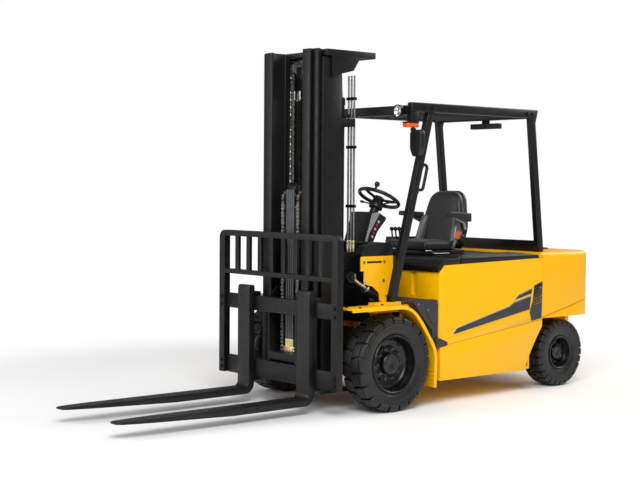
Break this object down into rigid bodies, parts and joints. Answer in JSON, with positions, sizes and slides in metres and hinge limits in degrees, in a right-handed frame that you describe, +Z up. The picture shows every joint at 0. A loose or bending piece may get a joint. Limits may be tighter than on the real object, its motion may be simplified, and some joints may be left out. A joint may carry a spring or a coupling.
{
  "type": "electric counterbalance forklift",
  "caption": "Sit-on electric counterbalance forklift with a telescopic mast, tilting carriage with forks, steered rear wheels, overhead guard and a seat hood that opens over the battery.",
  "frame": {"origin": "on the floor under the middle of the whole truck, forks included", "axes": "+X forward along the forks, +Y to the driver's left, +Z up"},
  "size_m": [4.5812, 1.47, 2.65],
  "materials": {
    "yellow_paint": "gloss body paint",
    "cast_yellow": "painted casting",
    "black_paint": "satin black paint",
    "grey_plastic": "moulded dark grey plastic",
    "black_plastic": "moulded black plastic",
    "battery_case": "plain case",
    "tyre": "black rubber",
    "rim_black": "black wheel paint",
    "chrome": "hard chrome",
    "chain_steel": "oiled chain steel",
    "hose": "braided hose",
    "vinyl": "black seat vinyl",
    "lens": "clear lens",
    "amber": "amber lens"
  },
  "bodies": {
    "chassis": {"chassis_frame": "yellow_paint", "side_panel_left": "yellow_paint", "side_panel_right": "yellow_paint", "counterweight": "cast_yellow", "battery": "battery_case", "floor_and_steps": "grey_plastic", "front_cowl": "yellow_paint", "dashboard": "grey_plastic", "front_deck": "black_plastic", "guard_left": "black_paint", "guard_right": "black_paint", "guard_roof": "black_paint", "lamp_gussets": "black_paint", "rear_panel": "black_paint", "headlamps": "lens", "turn_signals": "amber", "mirrors": "black_plastic", "rear_lamp": "black_plastic", "grab_handles": "black_paint", "fender_left": "yellow_paint", "fender_right": "yellow_paint", "drive_axle": "black_paint", "steer_axle": "black_paint"},
    "knuckle_left": {"knuckle_left": "black_paint"},
    "knuckle_right": {"knuckle_right": "black_paint"},
    "wheel_front_left": {"rim_front_left": "rim_black", "tyre_front_left": "tyre"},
    "wheel_front_right": {"rim_front_right": "rim_black", "tyre_front_right": "tyre"},
    "wheel_rear_left": {"rim_rear_left": "rim_black", "tyre_rear_left": "tyre"},
    "wheel_rear_right": {"rim_rear_right": "rim_black", "tyre_rear_right": "tyre"},
    "steering_wheel": {"steering_wheel": "black_plastic"},
    "hood": {"hood": "black_plastic", "seat_base": "black_plastic", "seat_cushion": "vinyl", "seat_back": "vinyl", "armrest": "vinyl", "lever_console": "black_plastic"},
    "outer_mast": {"outer_mast": "black_paint", "lift_barrels": "black_paint", "mast_pipes": "chain_steel"},
    "middle_mast": {"middle_mast": "black_paint", "lift_rods": "chrome", "main_chains": "chain_steel"},
    "inner_mast": {"inner_mast": "black_paint", "free_lift_barrel": "black_paint"},
    "crosshead": {"crosshead": "black_paint", "free_lift_chains": "chain_steel", "free_lift_hoses": "hose"},
    "carriage": {"carriage": "black_paint", "load_backrest": "black_paint"},
    "fork_left": {"fork_left": "black_paint"},
    "fork_right": {"fork_right": "black_paint"},
    "tilt_barrel_left": {"tilt_barrel_left": "black_paint"},
    "tilt_barrel_right": {"tilt_barrel_right": "black_paint"},
    "tilt_rod_left": {"tilt_rod_left": "chrome"},
    "tilt_rod_right": {"tilt_rod_right": "chrome"}
  },
  "joints": [
    {"name": "mast_tilt", "type": "hinge", "parent": "chassis", "child": "outer_mast", "pos_m": [0.12535, 0, 0.351], "axis": [0, 1, 0], "range_deg": [-6, 6]},
    {"name": "mast_lift", "type": "slide", "parent": "outer_mast", "child": "middle_mast", "axis": [0, 0, 1], "range_m": [0, 1.6], "deforming": ["main_chains"]},
    {"name": "inner_lift", "type": "slide", "parent": "middle_mast", "child": "inner_mast", "axis": [0, 0, 1], "range_m": [0, 1.6]},
    {"name": "free_lift", "type": "slide", "parent": "inner_mast", "child": "carriage", "axis": [0, 0, 1], "range_m": [0, 1.4]},
    {"name": "crosshead_lift", "type": "slide", "parent": "inner_mast", "child": "crosshead", "axis": [0, 0, 1], "range_m": [0, 0.7], "deforming": ["free_lift_chains", "free_lift_hoses"]},
    {"name": "fork_left_shift", "type": "slide", "parent": "carriage", "child": "fork_left", "axis": [0, 1, 0], "range_m": [-0.1, 0.2]},
    {"name": "fork_right_shift", "type": "slide", "parent": "carriage", "child": "fork_right", "axis": [0, -1, 0], "range_m": [-0.1, 0.2]},
    {"name": "hood_open", "type": "hinge", "parent": "chassis", "child": "hood", "pos_m": [-1.52965, 0, 1.077], "axis": [0, -1, 0], "range_deg": [0, 60]},
    {"name": "steer_left", "type": "hinge", "parent": "chassis", "child": "knuckle_left", "pos_m": [-1.85465, 0.38, 0.278], "axis": [0, 0, 1], "range_deg": [-65, 65]},
    {"name": "steer_right", "type": "hinge", "parent": "chassis", "child": "knuckle_right", "pos_m": [-1.85465, -0.38, 0.278], "axis": [0, 0, 1], "range_deg": [-65, 65]},
    {"name": "steering_turn", "type": "hinge", "parent": "chassis", "child": "steering_wheel", "pos_m": [-0.35465, 0, 1.557], "axis": [-0.454, 0, 0.891], "range_deg": [-618.5, 618.5]},
    {"name": "wheel_front_left_spin", "type": "hinge", "parent": "chassis", "child": "wheel_front_left", "pos_m": [0.12535, 0.617, 0.351], "axis": [0, 1, 0], "continuous": true},
    {"name": "wheel_rear_left_spin", "type": "hinge", "parent": "knuckle_left", "child": "wheel_rear_left", "pos_m": [-1.85465, 0.531, 0.278], "axis": [0, 1, 0], "continuous": true},
    {"name": "tilt_barrel_left_swing", "type": "hinge", "parent": "chassis", "child": "tilt_barrel_left", "pos_m": [-0.20465, 0.405, 0.7], "axis": [0, 1, 0], "range_deg": [-6, 6]},
    {"name": "tilt_rod_left_stroke", "type": "slide", "parent": "tilt_barrel_left", "child": "tilt_rod_left", "axis": [0.8766, 0, 0.4813], "range_m": [-0.06, 0.06]},
    {"name": "wheel_front_right_spin", "type": "hinge", "parent": "chassis", "child": "wheel_front_right", "pos_m": [0.12535, -0.617, 0.351], "axis": [0, 1, 0], "continuous": true},
    {"name": "wheel_rear_right_spin", "type": "hinge", "parent": "knuckle_right", "child": "wheel_rear_right", "pos_m": [-1.85465, -0.531, 0.278], "axis": [0, 1, 0], "continuous": true},
    {"name": "tilt_barrel_right_swing", "type": "hinge", "parent": "chassis", "child": "tilt_barrel_right", "pos_m": [-0.20465, -0.405, 0.7], "axis": [0, 1, 0], "range_deg": [-6, 6]},
    {"name": "tilt_rod_right_stroke", "type": "slide", "parent": "tilt_barrel_right", "child": "tilt_rod_right", "axis": [0.8766, 0, 0.4813], "range_m": [-0.06, 0.06]}
  ],
  "couplings": [
    {"joint": "inner_lift", "follows": "mast_lift", "ratio": 1},
    {"joint": "crosshead_lift", "follows": "free_lift", "ratio": 0.5},
    {"joint": "steer_right", "follows": "steer_left", "ratio": 1},
    {"joint": "steering_turn", "follows": "steer_left", "ratio": -9.5},
    {"joint": "tilt_barrel_left_swing", "follows": "mast_tilt", "ratio": 0.79149},
    {"joint": "tilt_rod_left_stroke", "follows": "mast_tilt", "m_per_rad": 0.46474},
    {"joint": "tilt_barrel_right_swing", "follows": "mast_tilt", "ratio": 0.79149},
    {"joint": "tilt_rod_right_stroke", "follows": "mast_tilt", "m_per_rad": 0.46474}
  ]
}
